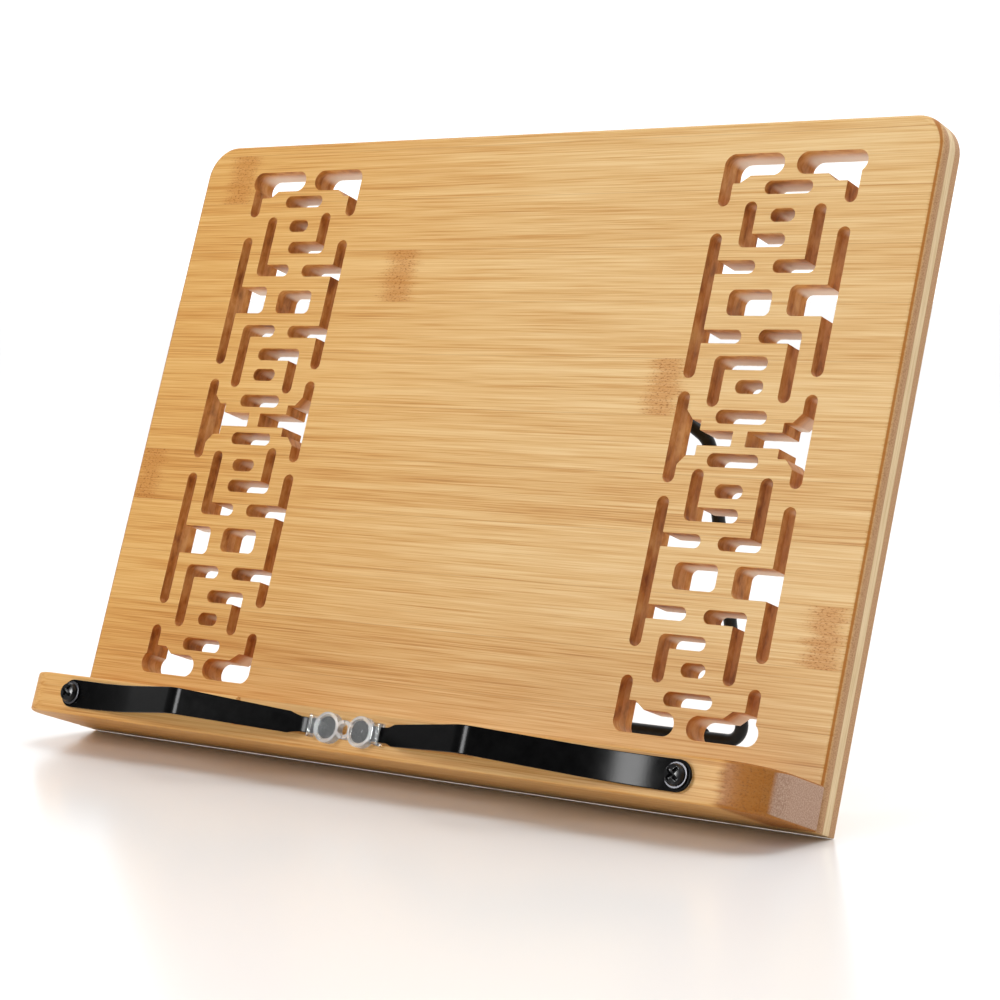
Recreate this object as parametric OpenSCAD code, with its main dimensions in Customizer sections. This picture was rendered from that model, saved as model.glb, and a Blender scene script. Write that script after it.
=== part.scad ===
// Folding album stand: a pierced bamboo board with a ledge, two page clips and a rear wire leg.
// Everything but the leg is drawn with the board upright, its front face in the plane y = 0,
// and is then leaned back as one.

/* [Board] */
// Width of the board and of the ledge
board_w = 340; // [320:1:380]
// Height of the board, measured along it
board_h = 240; // [236:1:280]
// Thickness of the three-ply board
board_t = 11; // [9:0.5:14]
// Radius of the two top corners
corner_r = 13; // [6:1:20]
// Radius of the rounded front edges
edge_r = 3; // [1:0.5:4]
// Lean of the board from the vertical, in degrees
lean = 19; // [17:0.5:22]

/* [Lattice] */
// Distance of each strip's outer upright slot from the middle of the board
strip_x = 137.9; // [134:0.1:142]
// Height of the lattice's middle above the foot of the board
strip_z = 125.8; // [124:0.1:130]
// Width of the slots
slot_w = 4.7; // [3.5:0.1:5]

/* [Ledge] */
// How far the ledge stands out in front of the board
ledge_d = 33; // [28:1:40]
// Height of the ledge
ledge_h = 14.9; // [14:0.1:20]
// Radius of the ledge's front corners, seen from above
ledge_corner_r = 16; // [10:1:20]
// Radius of the ledge's long edges
ledge_edge_r = 1.2; // [0.5:0.1:2]
// Half length of the recess for the clip tips
recess_half = 55.7; // [50:0.1:60]
// Depth of the recess
recess_d = 2; // [1:0.1:3]
// Height at which the recess starts
recess_z = 4.6; // [3:0.1:6]

/* [Page clips] */
// Distance of each clip's pivot from the middle
pivot_x = 138.2; // [134:0.1:142]
// Height of the pivots above the foot of the board
pivot_z = 7.8; // [7:0.1:9]
// Thickness of the spring blades
blade_t = 1; // [0.8:0.1:1.4]
// Width of the blade at its pivot
blade_w = 10.4; // [9:0.1:12]
// Width of the blade at the peak of its bend
blade_peak_w = 9.4; // [8:0.1:11]
// Width of the blade where its neck starts
blade_end_w = 7.6; // [6:0.1:8]
// Width of the neck
neck_w = 5.4; // [4:0.1:6]
// Radius of the blade's round tip
tip_r = 4.3; // [3.5:0.1:5]
// Slope of the blade up to its peak, in degrees
rise_angle = 22; // [16:1:24]
// Radius of the clear caps
cap_r = 5.4; // [5.2:0.1:6]
// Thickness of the clear caps
cap_t = 3.2; // [2.6:0.1:3.4]

/* [Leg] */
// Height of the leg's hinge above the foot of the board
hinge_z = 212; // [205:1:216]
// Distance of the hinge axis behind the board
hinge_gap = 7; // [6.5:0.5:9]
// Length of the leg from its hinge to its foot
leg_l = 198.5; // [190:0.5:200]
// Half width of the leg at its foot
leg_half = 58; // [50:1:65]
// Half width of the leg's neck
neck_half = 25; // [24:1:30]
// Diameter of the leg's wire
leg_wire_d = 5; // [4:0.5:5]
// Distance from the hinge to the prop's pivot, which is also the prop's length
prop_l = 46; // [42:1:48]
// Diameter of the prop's wire
prop_wire_d = 3.5; // [3:0.1:3.5]

/* [Hidden] */
$fn = 64;
through = 1;
running = 0.05;

// Lattice, on one strip: s runs from the outer upright slot to the inner one, t up from the middle
strip_s = 51;
end_slot_w = 8;
block_w = 10;

// Ledge fixings
fixing_x = 128;
fixing_inner_x = 42;
fixing_r = 2;
fixing_head_r = 4;
fixing_l = 32;
dowel_x = 86;
dowel_r = 3;
dowel_l = 20;

// Stack on each clip's pivot, outwards from the ledge
spacer_t = 0.6;
washer_t = 0.8;
washer_r = 4.3;
head_r = 3.6;
head_t = 2.4;
clip_screw_r = 2;
clip_screw_l = 20;
stack_gap = 0.05;
blade_back = ledge_d + spacer_t + stack_gap;
blade_mid = blade_back + blade_t / 2;
washer_back = blade_back + blade_t + stack_gap;

// Blade's side view, along its middle surface: flat, a wide curve up, a straight rise,
// a tight bend, a straight fall and a small curve that lays the tip flat
curve_start = 5;
curve_r = 90;
rise_l = 32.5;
bend_r = 9;
lay_r = 12;
tip_x = 7.6;
neck_end = 21.5;
shoulder_x = 23.5;
cap_gap = 0.2;
curve_dx = curve_r * sin(rise_angle);
curve_dy = curve_r * (1 - cos(rise_angle));
rise_dx = rise_l * cos(rise_angle);
rise_dy = rise_l * sin(rise_angle);
peak_x = pivot_x - curve_start - curve_dx - rise_dx - bend_r * sin(rise_angle);
tip_mid = ledge_d + 2;
peak_mid = blade_mid + curve_dy + rise_dy + bend_r * (1 - cos(rise_angle));
lay_x = 15.5;
// The fall's angle is the one that joins the bend and the lay, both of which it touches
fall_dx = peak_x - lay_x;
fall_dy = peak_mid - tip_mid;
fall_r = bend_r + lay_r;
fall_angle = atan2(fall_dy - fall_r, fall_dx)
    + acos(sqrt(fall_dx * fall_dx + (fall_dy - fall_r) * (fall_dy - fall_r) - fall_r * fall_r)
        / sqrt(fall_dx * fall_dx + (fall_dy - fall_r) * (fall_dy - fall_r)));

// Rear hardware
hinge_y = board_t + hinge_gap;
saddle_x = 40;
saddle_w = 11;
saddle_h = 30;
plate_t = 1.5;
bush_t = 0.8;
leg_r = leg_wire_d / 2;
bush_r = leg_r + running + bush_t;
saddle_r = bush_r + plate_t;
stub_end = saddle_x + saddle_w / 2 + 2.5;
small_screw_r = 1.75;
small_head_r = 3.2;
small_head_t = 2;
small_screw_l = 8;
saddle_screw_dz = 10.5;
shoulder_l = 82;
// Three down for every four across
shoulder_rise = (leg_half - neck_half) * 3 / 4;
wire_bend = 8;
foot_bend = 10;
sleeve_r = 3.8;
sleeve_x = 34;
sleeve_l = 13;
prop_r = prop_wire_d / 2;
prop_half = 14.5;
lug_w = 3.7;
lug_r = 4;
web_x = 11;
web_t = 2;
web_h = 11;
track_r = prop_r + 0.25;
notch_dip = 0.8;

// Where the leaned board puts the hinge, and the leg angle that sets the foot on the ground
ground = board_t * sin(lean);
hinge_up = hinge_z * cos(lean) - hinge_y * sin(lean) + ground;
hinge_back = hinge_z * sin(lean) + hinge_y * cos(lean);
leg_angle = acos((hinge_up - sleeve_r) / leg_l);
open_angle = lean + leg_angle;
// Angles between board and leg at the five notches
notch_angles = [open_angle, 40, 50, 60, 70];
track_top = hinge_z - 2 * prop_l * cos(notch_angles[len(notch_angles) - 1]);
track_bottom = hinge_z - 2 * prop_l;
rack_margin = 8;

// The origin lies under the middle of the whole stand
front_reach = (peak_mid + blade_t / 2) * cos(lean) - (pivot_z - blade_peak_w / 2) * sin(lean);
back_reach = hinge_back + leg_l * sin(leg_angle) + sleeve_r;
centre_y = (back_reach - front_reach) / 2;

// ---- Placing ----

// Leans the upright drawing back and stands it on its rear foot edge
module leaned() {
    translate([0, -centre_y, ground]) rotate([-lean, 0, 0]) children();
}

// Hangs a drawing of the leg, hinge at the origin and foot below it, on the leaned board
module hung(angle) {
    translate([0, hinge_back - centre_y, hinge_up]) rotate([angle, 0, 0]) children();
}

// Turns a drawing in x and z into a plate that runs from y = back to y = back - depth
module slab(back, depth) {
    translate([0, back, 0]) rotate([90, 0, 0]) linear_extrude(depth) children();
}

module both_sides() {
    for (side = [0, 1]) mirror([side, 0, 0]) children();
}

// Cylinder along y, from y = back towards the front
module rod_y(x, z, back, length, r) {
    translate([x, back, z]) rotate([90, 0, 0]) cylinder(h = length, r = r);
}

// Cylinder along x
module rod_x(x0, x1, y, z, r) {
    translate([x0, y, z]) rotate([0, 90, 0]) cylinder(h = x1 - x0, r = r);
}

// ---- Lattice ----

// Slot with round ends whose end centres are s0 and s1, at height t
module slot_across(s0, s1, t, w = slot_w) {
    translate([s0, t - w / 2]) square([s1 - s0, w]);
    for (s = [s0, s1]) translate([s, t]) circle(d = w);
}

// The same, upright
module slot_up(s, t0, t1, w = slot_w) {
    translate([s - w / 2, t0]) square([w, t1 - t0]);
    for (t = [t0, t1]) translate([s, t]) circle(d = w);
}

// Rectangular opening with round corners
module block_hole(s0, s1, t0, t1, r) {
    translate([s0 + r, t0]) square([s1 - s0 - 2 * r, t1 - t0]);
    translate([s0, t0 + r]) square([s1 - s0, t1 - t0 - 2 * r]);
    for (s = [s0 + r, s1 - r], t = [t0 + r, t1 - r]) translate([s, t]) circle(r = r);
}

// Upper half of one strip's openings
module strip_half() {
    r = slot_w / 2;
    // long upright slots at both sides, with a block hole or arms growing from them
    slot_up(0, 22.3 + r, 74.6 - r);
    slot_up(strip_s, 20.9 + r, 72.9 - r);
    block_hole(-r, 16.6, 43.3, 54.1, r);
    block_hole(23.5, 40.8, 43.3, 52.5, r);
    for (t = [35.8, 60.7]) slot_across(32.8 + r, strip_s, t);
    // angle slots
    slot_up(11, 60.9, 83 - r);
    slot_across(11, 25.5 - r, 60.9);
    slot_up(11, 13 + r, 36);
    slot_across(11, 25.6 - r, 36);
    slot_up(39.1, 70.2, 84.3 - r);
    slot_across(22.8 + r, 39.1, 70.2);
    slot_up(39.1, 11 + r, 26.5);
    slot_across(20 + r, 39.1, 26.5);
    // short slots
    slot_across(20.8 + r, 30.4 - r, 79.2);
    slot_across(20 + r, 31 - r, 18.2);
    slot_across(15.8 + r, 35 - r, 89.3);
    slot_across(16.2 + r, 36.5 - r, 7.6);
    // wide end slots with a flared step where they meet their uprights
    slot_up(0, 83.3 + r, 97.9);
    slot_across(0, 23.8 - end_slot_w / 2, 97.9, end_slot_w);
    translate([-r, 91.2]) square([r + 7, 6.7]);
    polygon([[7, 91.2], [10.4, 93.9], [7, 94.5]]);
    slot_up(strip_s, 82.9 + r, 97.9);
    slot_across(29 + end_slot_w / 2, strip_s - 1.6, 97.9, end_slot_w);
    translate([strip_s - 5, 91.2]) square([5 + r, 6.7]);
    polygon([[strip_s - 5, 91.2], [strip_s - 9, 93.9], [strip_s - 5, 94.5]]);
    // upper half of the middle piece
    for (s = [0, strip_s]) translate([s - r, 0]) square([slot_w, 16 - r]);
    for (s = [0, strip_s]) translate([s, 16 - r]) circle(r = r);
    polygon([[0, 0], [0, 9.6], [2.3, 9.6], [5.5, 6.2], [8.8, 6.2], [8.8, 2.7], [22.5, 2.7], [22.5, 0]]);
    polygon([[strip_s, 0], [strip_s, 9.6], [strip_s - 2.3, 9.6], [strip_s - 5.4, 6.2],
        [strip_s - 9, 6.2], [strip_s - 9, 2.6], [28.4, 2.6], [28.4, 0]]);
}

module lattice() {
    both_sides() translate([-strip_x, strip_z])
        for (flip = [0, 1]) mirror([0, flip]) strip_half();
}

// ---- Bamboo pieces ----

// Outline of the board's face, drawn in by inset all round but at its foot
module board_outline(inset) {
    r = corner_r - inset;
    half = board_w / 2 - inset;
    top = board_h - inset;
    translate([-half, 0]) square([2 * half, top - r]);
    translate([-half + r, 0]) square([2 * (half - r), top]);
    both_sides() translate([half - r, top - r]) circle(r = r);
}

module board_blank() {
    half = board_w / 2 - edge_r;
    slab(board_t, board_t - edge_r) board_outline(0);
    slab(board_t, board_t) board_outline(edge_r);
    both_sides() translate([half, edge_r, 0]) cylinder(h = board_h - corner_r, r = edge_r);
    rod_x(corner_r - board_w / 2, board_w / 2 - corner_r, edge_r, board_h - edge_r, edge_r);
    both_sides() translate([board_w / 2 - corner_r, edge_r, board_h - corner_r])
        rotate([90, 0, 0]) rotate_extrude() translate([corner_r - edge_r, 0]) circle(r = edge_r);
}

module board() {
    color("burlywood") leaned() difference() {
        board_blank();
        slab(board_t + through, board_t + 2 * through) lattice();
        for (x = [-fixing_x, -fixing_inner_x, fixing_inner_x, fixing_x]) ledge_screw(x, running);
        for (x = [-dowel_x, dowel_x]) ledge_dowel(x, running);
        for (side = [-1, 1], dz = [-saddle_screw_dz, saddle_screw_dz])
            small_screw(side * saddle_x, hinge_z + dz, running);
        for (z = rack_screw_heights()) small_screw(0, z, running);
    }
}

// Section of the ledge from its middle outwards, both outer edges rounded
module ledge_section(reach) {
    $fn = 32;
    e = ledge_edge_r;
    square([reach - e, ledge_h]);
    translate([0, e]) square([reach, ledge_h - 2 * e]);
    for (z = [e, ledge_h - e]) translate([reach - e, z]) circle(r = e);
}

module ledge_blank() {
    half = board_w / 2;
    r = ledge_corner_r;
    translate([half - r, 0, 0]) rotate([90, 0, -90])
        linear_extrude(2 * (half - r)) ledge_section(ledge_d);
    both_sides() {
        translate([half - 2 * r, 0, 0]) rotate([90, 0, 0]) linear_extrude(ledge_d - r) ledge_section(2 * r);
        translate([half - r, r - ledge_d, 0]) rotate_extrude() ledge_section(r);
    }
}

module ledge() {
    color("peru") leaned() difference() {
        ledge_blank();
        translate([-recess_half, -ledge_d - through, recess_z])
            cube([2 * recess_half, recess_d + through, ledge_h]);
        for (x = [-fixing_x, -fixing_inner_x, fixing_inner_x, fixing_x]) ledge_screw(x, running);
        for (x = [-dowel_x, dowel_x]) ledge_dowel(x, running);
        for (x = [-pivot_x, pivot_x]) rod_y(x, pivot_z, clip_screw_l - ledge_d, clip_screw_l + through,
            clip_screw_r + running);
    }
}

// ---- Fixings ----

// Countersunk screw from the back of the board into the ledge
module ledge_screw(x, gap = 0) {
    rod_y(x, ledge_h / 2, board_t, fixing_l, fixing_r + gap);
    translate([x, board_t + gap, ledge_h / 2]) rotate([90, 0, 0])
        cylinder(h = fixing_head_r - fixing_r + gap, r1 = fixing_head_r + gap, r2 = fixing_r + gap);
}

module cross_recess(x, z, face, r, depth) {
    for (turn = [0, 90]) translate([x, face, z]) rotate([0, turn, 0])
        translate([-r, -depth, -r / 6]) cube([2 * r, depth + through, r / 3]);
}

module ledge_screws() {
    color("dimgray") leaned() for (x = [-fixing_x, -fixing_inner_x, fixing_inner_x, fixing_x])
        difference() {
            ledge_screw(x);
            cross_recess(x, ledge_h / 2, board_t, fixing_head_r / 2, 1.4);
        }
}

module ledge_dowel(x, gap = 0) {
    rod_y(x, ledge_h / 2, dowel_l / 2 - 3 + gap, dowel_l + 2 * gap, dowel_r + gap);
}

module ledge_dowels() {
    color("tan") leaned() for (x = [-dowel_x, dowel_x]) ledge_dowel(x);
}

// Pan-head screw whose head stands on a plate behind the board
module small_screw(x, z, gap = 0) {
    rod_y(x, z, board_t + plate_t + gap, plate_t + small_screw_l + 2 * gap, small_screw_r + gap);
}

module small_pan_screw(x, z) {
    face = board_t + plate_t;
    difference() {
        union() {
            small_screw(x, z);
            rod_y(x, z, face + small_head_t / 2, small_head_t / 2, small_head_r);
            rod_y(x, z, face + small_head_t, small_head_t, small_head_r * 0.8);
        }
        translate([0, 2 * (face + small_head_t), 0]) mirror([0, 1, 0])
            cross_recess(x, z, face + small_head_t, small_head_r * 0.55, 1.2);
    }
}

// ---- Page clips ----

// Point of an arc, with the offset from the middle surface along the arc's normal
function arc_point(cx, cy, r, angle) = [cx + r * sin(angle), cy + r * cos(angle)];

// One face of the bent blade as points (x, distance in front of the board), for the right
// clip, from pivot end to tip; offset is half the thickness, outwards or inwards
function blade_face(offset) = concat(
    [[pivot_x + blade_w, blade_mid + offset]],
    [for (a = [0 : 2 : rise_angle])
        arc_point(pivot_x - curve_start, blade_mid + curve_r, -(curve_r - offset), a)],
    [for (a = [rise_angle : -4 : -fall_angle])
        arc_point(peak_x, peak_mid - bend_r, bend_r + offset, a)],
    [for (a = [fall_angle : -4 : 0])
        arc_point(lay_x, tip_mid + lay_r, -(lay_r - offset), -a)],
    [[0, tip_mid + offset]]);

function reversed(list) = [for (i = [len(list) - 1 : -1 : 0]) list[i]];

// The bent strip, much wider than the blade, to be trimmed to its outline
module blade_strip() {
    face = blade_face(blade_t / 2);
    back = reversed(blade_face(-blade_t / 2));
    translate([0, 0, pivot_z - blade_w])
        linear_extrude(2 * blade_w) mirror([0, 1]) polygon(concat(face, back));
}

// Outline of the blade seen from the front
module blade_outline() {
    translate([pivot_x, pivot_z]) circle(d = blade_w);
    translate([tip_x, pivot_z]) circle(r = tip_r);
    translate([0, pivot_z]) polygon([
        [pivot_x, blade_w / 2], [peak_x, blade_peak_w / 2], [shoulder_x, blade_end_w / 2],
        [neck_end, neck_w / 2], [tip_x, neck_w / 2], [tip_x, -neck_w / 2], [neck_end, -neck_w / 2],
        [shoulder_x, -blade_end_w / 2], [peak_x, -blade_peak_w / 2], [pivot_x, -blade_w / 2]]);
}

module clip_blade() {
    difference() {
        intersection() {
            blade_strip();
            slab(0, 2 * ledge_d) blade_outline();
        }
        rod_y(pivot_x, pivot_z, 0, 2 * ledge_d, clip_screw_r + running);
    }
}

module left_clip_blade() {
    color("black") leaned() mirror([1, 0, 0]) clip_blade();
}

module right_clip_blade() {
    color("black") leaned() clip_blade();
}

// Clear cap: a disc over the blade's round tip, a collar with a lip, and a half-ring nose
module clip_cap() {
    collar_x = 12;
    lip_x = 16.2;
    lip_w = 1;
    nose_r = 3.3;
    nose_hole_r = 2;
    back = -(tip_mid - cap_t / 2);
    slot = blade_t + 2 * running;
    difference() {
        union() {
            slab(back, cap_t) translate([tip_x, pivot_z]) circle(r = cap_r);
            slab(back - 0.3, cap_t - 0.6) translate([tip_x, pivot_z - neck_w / 2 - 0.7])
                square([lip_x - tip_x, neck_w + 1.4]);
            slab(back, cap_t) translate([lip_x - lip_w, pivot_z - neck_w / 2 - 1.2])
                square([lip_w, neck_w + 2.4]);
            slab(back - 0.3, cap_t - 0.6) difference() {
                translate([cap_gap, pivot_z]) circle(r = nose_r);
                translate([cap_gap, pivot_z]) circle(r = nose_hole_r);
                translate([cap_gap - 2 * nose_r, pivot_z - nose_r - 1]) square([2 * nose_r, 2 * nose_r + 2]);
            }
        }
        slab(-(tip_mid - slot / 2), slot) {
            translate([tip_x, pivot_z]) circle(r = tip_r + running);
            translate([tip_x, pivot_z - neck_w / 2 - running])
                square([collar_x, neck_w + 2 * running]);
        }
        slab(back, cap_t) translate([cap_gap, pivot_z]) circle(r = nose_hole_r);
    }
}

module left_clip_cap() {
    color("lightcyan") leaned() mirror([1, 0, 0]) clip_cap();
}

module right_clip_cap() {
    color("lightcyan") leaned() clip_cap();
}

// Ring around each clip's screw, lying on the plane that is face in front of the board
module clip_rings(face, thickness, outer, inner) {
    leaned() both_sides() difference() {
        rod_y(pivot_x, pivot_z, -face, thickness, outer);
        rod_y(pivot_x, pivot_z, through - face, thickness + 2 * through, inner);
    }
}

module clip_spacers() {
    color("white") clip_rings(ledge_d, spacer_t, blade_w / 2 - 0.5, clip_screw_r + running);
}

module clip_washers() {
    color("silver") clip_rings(washer_back, washer_t, washer_r, clip_screw_r + running);
}

module clip_screws() {
    face = washer_back + washer_t;
    color("black") leaned() both_sides() difference() {
        union() {
            rod_y(pivot_x, pivot_z, clip_screw_l - ledge_d, clip_screw_l + face - ledge_d, clip_screw_r);
            rod_y(pivot_x, pivot_z, -face, head_t * 0.55, head_r);
            rod_y(pivot_x, pivot_z, -face, head_t * 0.85, head_r * 0.85);
            rod_y(pivot_x, pivot_z, -face, head_t, head_r * 0.62);
        }
        cross_recess_front(pivot_x, pivot_z, -face - head_t, head_r * 0.52, 1.5);
    }
}

module cross_recess_front(x, z, face, r, depth) {
    for (turn = [0, 90]) translate([x, face, z]) rotate([0, turn, 0])
        translate([-r, -through, -r / 5]) cube([2 * r, depth + through, r / 2.5]);
}

// ---- Rear hardware ----

module saddle() {
    color("black") leaned() difference() {
        union() {
            translate([saddle_x - saddle_w / 2, board_t, hinge_z - saddle_h / 2])
                cube([saddle_w, plate_t, saddle_h]);
            translate([saddle_x - saddle_w / 2, board_t, hinge_z - saddle_r])
                cube([saddle_w, hinge_gap, 2 * saddle_r]);
            rod_x(saddle_x - saddle_w / 2, saddle_x + saddle_w / 2, hinge_y, hinge_z, saddle_r);
        }
        rod_x(saddle_x - saddle_w, saddle_x + saddle_w, hinge_y, hinge_z, bush_r);
        for (dz = [-saddle_screw_dz, saddle_screw_dz]) small_screw(saddle_x, hinge_z + dz, running);
    }
}

module left_saddle() {
    mirror([1, 0, 0]) saddle();
}

module right_saddle() {
    saddle();
}

module saddle_bushes() {
    color("white") leaned() both_sides() difference() {
        rod_x(saddle_x - saddle_w / 2, saddle_x + saddle_w / 2, hinge_y, hinge_z, bush_r);
        rod_x(saddle_x - saddle_w, saddle_x + saddle_w, hinge_y, hinge_z, leg_r + running);
    }
}

module saddle_screws() {
    color("silver") leaned() for (side = [-1, 1], dz = [-saddle_screw_dz, saddle_screw_dz])
        small_pan_screw(side * saddle_x, hinge_z + dz);
}

function rack_screw_heights() = [track_bottom, (track_bottom + track_top) / 2, track_top];

// Channel with a slotted track in each side, in which the prop's cross wire slides from
// notch to notch
module rack_channel() {
    low = track_bottom - rack_margin;
    high = track_top + rack_margin;
    color("black") leaned() difference() {
        union() {
            translate([-web_x - web_t / 2, board_t, low])
                cube([2 * web_x + web_t, plate_t, high - low]);
            for (side = [-1, 1]) translate([side * web_x - web_t / 2, board_t, low])
                cube([web_t, web_h, high - low]);
        }
        translate([-2 * web_x, hinge_y - track_r, track_bottom])
            cube([4 * web_x, 2 * track_r, track_top - track_bottom]);
        for (z = [track_bottom, track_top]) rod_x(-2 * web_x, 2 * web_x, hinge_y, z, track_r);
        for (a = notch_angles)
            rod_x(-2 * web_x, 2 * web_x, hinge_y - notch_dip, hinge_z - 2 * prop_l * cos(a), track_r);
        for (z = rack_screw_heights()) small_screw(0, z, running);
    }
}

module rack_screws() {
    color("silver") leaned() for (z = rack_screw_heights()) small_pan_screw(0, z);
}

// ---- Wire pieces ----

// Straight wire between two points of the plane y = 0, given as [x, z]
module wire(a, b, r) {
    run = b - a;
    translate([a[0], 0, a[1]]) rotate([0, atan2(run[0], run[1]), 0]) cylinder(h = norm(run), r = r);
}

function unit(v) = v / norm(v);

// How much a bend of radius r takes off each of the two straights that meet at p
function bend_trim(before, p, after, r) =
    r * tan(acos(unit(p - before) * unit(after - p)) / 2);

// Bent wire through the given points, with a round bend of radius r at each inner one
module bent_wire(points, r, bend) {
    last = len(points) - 1;
    trims = [for (i = [0 : last]) i == 0 || i == last ? 0
        : bend_trim(points[i - 1], points[i], points[i + 1], bend)];
    for (i = [0 : last - 1]) {
        along = unit(points[i + 1] - points[i]);
        wire(points[i] + trims[i] * along, points[i + 1] - trims[i + 1] * along, r);
    }
    for (i = [1 : last - 1]) wire_bend(points[i - 1], points[i], points[i + 1], r, bend, trims[i]);
}

module wire_bend(before, p, after, r, bend, trim) {
    $fn = 24;
    arrive = unit(p - before);
    leave = unit(after - p);
    turn = arrive[0] * leave[1] - arrive[1] * leave[0];
    side = turn > 0 ? [-arrive[1], arrive[0]] : [arrive[1], -arrive[0]];
    centre = p - trim * arrive + bend * side;
    swept = acos(arrive * leave);
    start = atan2(-side[1], -side[0]);
    first = turn > 0 ? start : start - swept;
    translate([centre[0], 0, centre[1]]) rotate([90, 0, 0]) rotate([0, 0, first])
        rotate_extrude(angle = swept) translate([bend, 0]) circle(r = r);
}

function mirrored(points) = concat(points,
    [for (i = [len(points) - 1 : -1 : 0]) [-points[i][0], points[i][1]]]);

module leg_wire() {
    half_path = [[-stub_end, 0], [-neck_half, 0], [-neck_half, shoulder_rise - shoulder_l],
        [-leg_half, -shoulder_l], [-leg_half, -leg_l]];
    color("black") hung(leg_angle) bent_wire(mirrored(half_path), leg_r, wire_bend);
}

// Lugs that hold the prop's ends, each hollowed to sit against the leg's neck
module prop_lugs() {
    color("black") hung(leg_angle) both_sides() difference() {
        union() {
            rod_x(neck_half - leg_r - lug_w, neck_half - leg_r, 0, -prop_l, lug_r);
            translate([neck_half - leg_r - lug_w, -leg_r, -prop_l - lug_r])
                cube([lug_w + leg_r, 2 * leg_r, 2 * lug_r]);
        }
        rod_x(0, neck_half - leg_r, 0, -prop_l, prop_r + running);
        translate([neck_half, 0, -2 * prop_l]) cylinder(h = 2 * prop_l, r = leg_r);
    }
}

module leg_sleeves() {
    color("dimgray") hung(leg_angle) both_sides() difference() {
        rod_x(sleeve_x - sleeve_l / 2, sleeve_x + sleeve_l / 2, 0, -leg_l, sleeve_r);
        rod_x(0, leg_half, 0, -leg_l, leg_r);
    }
}

// Drawn about the pivot in the leg's lugs; its cross wire lies in the rack's track
module prop_wire() {
    half_path = [[-(neck_half - leg_r - 0.2), 0], [-prop_half, 0], [-prop_half, -prop_l]];
    color("dimgray") hung(leg_angle) translate([0, 0, -prop_l]) rotate([-2 * open_angle, 0, 0])
        bent_wire(mirrored(half_path), prop_r, prop_wire_d);
}

board();
ledge();
ledge_screws();
ledge_dowels();
clip_spacers();
clip_washers();
clip_screws();
left_clip_blade();
right_clip_blade();
left_clip_cap();
right_clip_cap();
left_saddle();
right_saddle();
saddle_bushes();
saddle_screws();
rack_channel();
rack_screws();
leg_wire();
prop_lugs();
leg_sleeves();
prop_wire();
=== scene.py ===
import math

import bmesh
import bpy
import numpy as np
from mathutils import Matrix, Vector


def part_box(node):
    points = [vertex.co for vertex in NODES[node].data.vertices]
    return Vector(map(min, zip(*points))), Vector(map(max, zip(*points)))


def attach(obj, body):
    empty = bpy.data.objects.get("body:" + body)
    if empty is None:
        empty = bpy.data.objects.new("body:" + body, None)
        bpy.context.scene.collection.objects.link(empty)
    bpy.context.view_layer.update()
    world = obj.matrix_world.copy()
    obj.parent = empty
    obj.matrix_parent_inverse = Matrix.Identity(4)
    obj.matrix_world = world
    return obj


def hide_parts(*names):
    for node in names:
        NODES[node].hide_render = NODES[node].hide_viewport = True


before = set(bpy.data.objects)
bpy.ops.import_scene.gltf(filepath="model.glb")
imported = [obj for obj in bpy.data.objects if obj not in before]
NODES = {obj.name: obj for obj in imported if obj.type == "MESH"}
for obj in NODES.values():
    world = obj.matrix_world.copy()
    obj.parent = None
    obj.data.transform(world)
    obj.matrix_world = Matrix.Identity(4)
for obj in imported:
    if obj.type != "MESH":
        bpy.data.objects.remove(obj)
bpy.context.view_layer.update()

# ---- Sizes of the stand as in the CAD, in millimetres and radians ----

MM = 0.001
LEAN = math.radians(19)
BOARD_T = 11.0
LEDGE_D = 33.0
PIVOT_X, PIVOT_Z, PIVOT_R = 138.2, 7.8, 5.2

# The stack on a clip's pivot, outwards from the ledge
SPACER_T, STACK_GAP, BLADE_T, WASHER_T = 0.6, 0.05, 1.0, 0.8
BLADE_BACK = LEDGE_D + SPACER_T + STACK_GAP
BLADE_MID = BLADE_BACK + BLADE_T / 2
WASHER_FRONT = BLADE_BACK + BLADE_T + STACK_GAP + WASHER_T

# The blade's round tip inside its cap
TIP_X, TIP_R = 7.6, 4.3
TIP_MID = LEDGE_D + 2.0

# Hinge saddles, prop and rack behind the board
HINGE_UP, SADDLE_X, SADDLE_SCREW_DZ, PLATE_T = 212, 40, 10.5, 1.5
PROP_L, LEG_OPEN = 46, math.radians(70)

# The board's own frame: x across, y = 0 on its front face and positive behind it, z up along it
FRONT_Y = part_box("board")[0][1] / MM
FOOT_Z = BOARD_T * math.sin(LEAN)
PLACE = (Matrix.Translation((0, FRONT_Y * MM, FOOT_Z * MM))
         @ Matrix.Rotation(-LEAN, 4, "X") @ Matrix.Scale(MM, 4))


def placed(points):
    """Row-frame places of points given in the board's frame, in millimetres."""
    return [tuple(PLACE @ Vector(p)) for p in points]


def smoothstep(share):
    share = min(1.0, max(0.0, share))
    return share * share * (3 - 2 * share)


# ---- Camera, floor and light ----

# The camera was solved from the photograph's board corners and lattice
CAMERA_LENS, CAMERA_SENSOR, CAMERA_SHIFT = 96.96, 36, (-0.0064, -0.0104)
CAMERA_PLACE = (0.61534, (-703.84 + FRONT_Y) * MM, 0.16967)
CAMERA_AHEAD = (-0.62724, 0.77556, -0.0713)

# The world's brightness rises from its dim front to its white back, over this range of the y direction
WORLD_RANGE, WORLD_BRIGHTNESS = (-0.05, 0.45), (0.34, 1.30)
FLOOR_SIZE, FLOOR_WHITE, FLOOR_ROUGH = 160, (0.95, 0.95, 0.95, 1), 0.22

# Name, place, target, size, power, and whether the light shows in glossy surfaces only
LIGHTS = [
    ("key", (-0.58, -1.84, 1.06), (0, 0, 0.1), (0.6, 0.8), 17, False),
    ("key_glint", (-0.63, -1.93, 0.85), (0, 0, 0.03), (0.48, 0.6), 44, True),
    ("overhead", (0.2, 0.1, 2.2), (0, 0, 0), (1.6, 1.6), 19, False),
]


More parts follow.
